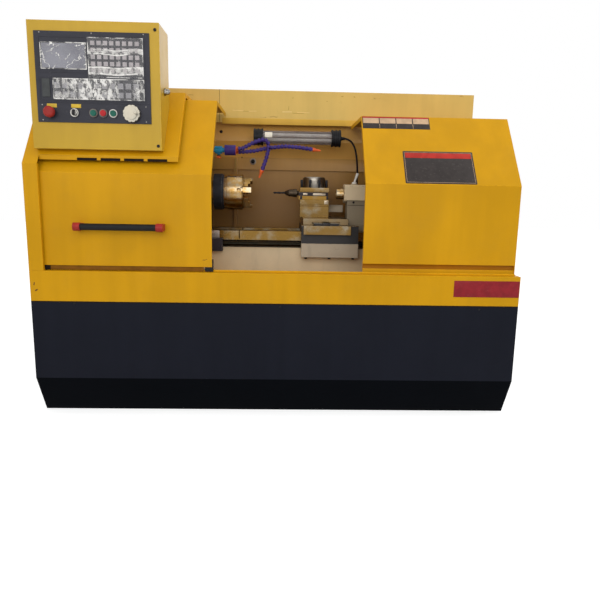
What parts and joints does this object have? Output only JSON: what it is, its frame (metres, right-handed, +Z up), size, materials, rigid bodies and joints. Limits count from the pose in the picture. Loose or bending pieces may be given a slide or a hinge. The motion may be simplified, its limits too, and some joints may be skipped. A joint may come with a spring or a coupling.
{
  "type": "cnc turning lathe",
  "caption": "Flat-bed turning lathe with a folded sheet enclosure, sliding chip door, hanging control box, scroll chuck, indexing tool turret and sliding tailstock.",
  "frame": {"origin": "on the floor, under the spindle axis and half way along the base", "axes": "+X along the spindle from headstock to tailstock, +Y to the back, +Z up"},
  "size_m": [1.94, 0.927, 1.514],
  "materials": {
    "base_paint": "semi-gloss enamel",
    "yellow_paint": "semi-gloss enamel",
    "pale_yellow_paint": "semi-gloss enamel",
    "cast_paint": "painted castings with ground ways",
    "ground_steel": "ground",
    "bright_steel": "polished",
    "black_steel": "blackened",
    "motor_paint": "satin",
    "belt_rubber": "matt",
    "black_plastic": "moulded",
    "red_plastic": "moulded",
    "green_plastic": "moulded",
    "panel_plastic": "membrane foil",
    "screen_glass": "gloss",
    "lamp_glass": "clear",
    "ivory_plastic": "moulded",
    "valve_blue": "moulded",
    "orange_plastic": "moulded",
    "hose_plastic": "moulded links"
  },
  "bodies": {
    "machine": {"base_cabinet": "base_paint", "chip_tray": "yellow_paint", "door_rail": "yellow_paint", "bed": "cast_paint", "headstock_casting": "cast_paint", "spindle_bearings": "ground_steel", "headstock_cover": "yellow_paint", "bulkhead": "yellow_paint", "right_cover": "yellow_paint", "rear_guard": "pale_yellow_paint", "electrical_cabinet": "yellow_paint", "control_box": "pale_yellow_paint", "control_panel": "panel_plastic", "display_screen": "screen_glass", "button_collars": "bright_steel", "main_motor": "motor_paint", "drive_belt": "belt_rubber", "screw_blocks": "black_steel", "z_motor": "black_steel", "lamp_tube": "lamp_glass", "lamp_caps": "black_plastic", "lamp_cable": "black_plastic", "coolant_valve": "valve_blue", "coolant_hoses": "hose_plastic"},
    "door": {"sliding_door": "yellow_paint", "door_guides": "black_plastic", "handle_grip": "black_plastic", "handle_ends": "red_plastic"},
    "cabinet_door": {"cabinet_door": "yellow_paint"},
    "spindle": {"spindle": "ground_steel", "spindle_pulley": "ground_steel", "chuck_plate": "black_steel", "chuck_body": "bright_steel"},
    "motor_rotor": {"motor_pulley": "ground_steel"},
    "jaw_1": {"chuck_jaw_1": "bright_steel"},
    "jaw_2": {"chuck_jaw_2": "bright_steel"},
    "jaw_3": {"chuck_jaw_3": "bright_steel"},
    "z_screw": {"z_screw": "ground_steel"},
    "carriage": {"saddle": "black_steel", "apron": "cast_paint", "cross_bearing": "ground_steel", "x_motor": "black_steel"},
    "x_screw": {"x_screw": "ground_steel"},
    "cross_slide": {"cross_slide": "ground_steel", "turret_base": "ground_steel"},
    "turret": {"turret_head": "ground_steel", "clamp_bolts": "black_steel", "drill_chuck": "black_steel", "drill": "black_steel"},
    "tailstock": {"tailstock_body": "cast_paint"},
    "handwheel": {"handwheel": "black_steel"},
    "quill": {"quill": "ground_steel"},
    "quill_lever": {"quill_lever": "ivory_plastic"},
    "valve_lever": {"valve_lever": "orange_plastic"},
    "emergency_stop": {"emergency_stop": "red_plastic"},
    "start_button": {"start_button": "green_plastic"},
    "stop_button": {"stop_button": "red_plastic"},
    "reset_button": {"reset_button": "green_plastic"},
    "mode_switch": {"mode_switch": "bright_steel"},
    "pulse_wheel": {"pulse_wheel": "bright_steel"}
  },
  "joints": [
    {"name": "door_slide", "type": "slide", "parent": "machine", "child": "door", "axis": [1, 0, 0], "range_m": [0, 0.61]},
    {"name": "cabinet_hinge", "type": "hinge", "parent": "machine", "child": "cabinet_door", "pos_m": [-0.7664, 0.422, 0.985], "axis": [0, 0, 1], "range_deg": [0, 110]},
    {"name": "spindle_spin", "type": "hinge", "parent": "machine", "child": "spindle", "pos_m": [-0.5, 0, 0.912], "axis": [1, 0, 0], "continuous": true},
    {"name": "motor_spin", "type": "hinge", "parent": "machine", "child": "motor_rotor", "pos_m": [-0.88, 0.14, 0.25], "axis": [1, 0, 0], "continuous": true},
    {"name": "jaw_1_slide", "type": "slide", "parent": "spindle", "child": "jaw_1", "axis": [0, -0.9903, 0.1392], "range_m": [-0.005, 0.005]},
    {"name": "jaw_2_slide", "type": "slide", "parent": "spindle", "child": "jaw_2", "axis": [0, 0.3746, -0.9272], "range_m": [-0.005, 0.005]},
    {"name": "jaw_3_slide", "type": "slide", "parent": "spindle", "child": "jaw_3", "axis": [0, 0.6157, 0.788], "range_m": [-0.005, 0.005]},
    {"name": "z_screw_turn", "type": "hinge", "parent": "machine", "child": "z_screw", "pos_m": [0, -0.159, 0.6895], "axis": [1, 0, 0], "range_deg": [-2, 9362]},
    {"name": "carriage_slide", "type": "slide", "parent": "machine", "child": "carriage", "axis": [-1, 0, 0], "range_m": [0, 0.13]},
    {"name": "x_screw_turn", "type": "hinge", "parent": "carriage", "child": "x_screw", "pos_m": [0.205, 0, 0.7612], "axis": [0, 1, 0], "range_deg": [-9002, 2]},
    {"name": "cross_slide_travel", "type": "slide", "parent": "carriage", "child": "cross_slide", "axis": [0, 1, 0], "range_m": [-0.1, 0]},
    {"name": "turret_index", "type": "hinge", "parent": "cross_slide", "child": "turret", "pos_m": [0.16, 0.0575, 0.9], "axis": [0, 0, 1], "range_deg": [-90, 90]},
    {"name": "tailstock_slide", "type": "slide", "parent": "machine", "child": "tailstock", "axis": [1, 0, 0], "range_m": [0, 0.18]},
    {"name": "handwheel_turn", "type": "hinge", "parent": "tailstock", "child": "handwheel", "pos_m": [0.526, 0, 0.912], "axis": [1, 0, 0], "range_deg": [-1800, 1800]},
    {"name": "quill_slide", "type": "slide", "parent": "tailstock", "child": "quill", "axis": [-1, 0, 0], "range_m": [-0.0251, 0.0251]},
    {"name": "quill_clamp", "type": "hinge", "parent": "tailstock", "child": "quill_lever", "pos_m": [0.342, 0, 0.958], "axis": [0, 0, 1], "range_deg": [0, 90]},
    {"name": "valve_turn", "type": "hinge", "parent": "machine", "child": "valve_lever", "pos_m": [-0.28, 0.02, 1.068], "axis": [0, 0, 1], "range_deg": [0, 90]},
    {"name": "emergency_stop_press", "type": "slide", "parent": "machine", "child": "emergency_stop", "axis": [0, 1, 0], "range_m": [0, 0.005]},
    {"name": "start_button_press", "type": "slide", "parent": "machine", "child": "start_button", "axis": [0, 1, 0], "range_m": [0, 0.003], "stiffness_N_per_m": 600},
    {"name": "stop_button_press", "type": "slide", "parent": "machine", "child": "stop_button", "axis": [0, 1, 0], "range_m": [0, 0.003], "stiffness_N_per_m": 600},
    {"name": "reset_button_press", "type": "slide", "parent": "machine", "child": "reset_button", "axis": [0, 1, 0], "range_m": [0, 0.003], "stiffness_N_per_m": 600},
    {"name": "mode_turn", "type": "hinge", "parent": "machine", "child": "mode_switch", "pos_m": [-0.763, -0.436, 1.191], "axis": [0, 1, 0], "range_deg": [-45, 45]},
    {"name": "pulse_turn", "type": "hinge", "parent": "machine", "child": "pulse_wheel", "pos_m": [-0.55, -0.436, 1.191], "axis": [0, 1, 0], "continuous": true}
  ],
  "couplings": [
    {"joint": "motor_spin", "follows": "spindle_spin", "ratio": 1.5044},
    {"joint": "jaw_2_slide", "follows": "jaw_1_slide", "ratio": 1},
    {"joint": "jaw_3_slide", "follows": "jaw_1_slide", "ratio": 1},
    {"joint": "z_screw_turn", "follows": "carriage_slide", "rad_per_m": 1256.6},
    {"joint": "x_screw_turn", "follows": "cross_slide_travel", "rad_per_m": 1570.8},
    {"joint": "quill_slide", "follows": "handwheel_turn", "m_per_rad": 0.00079577}
  ]
}
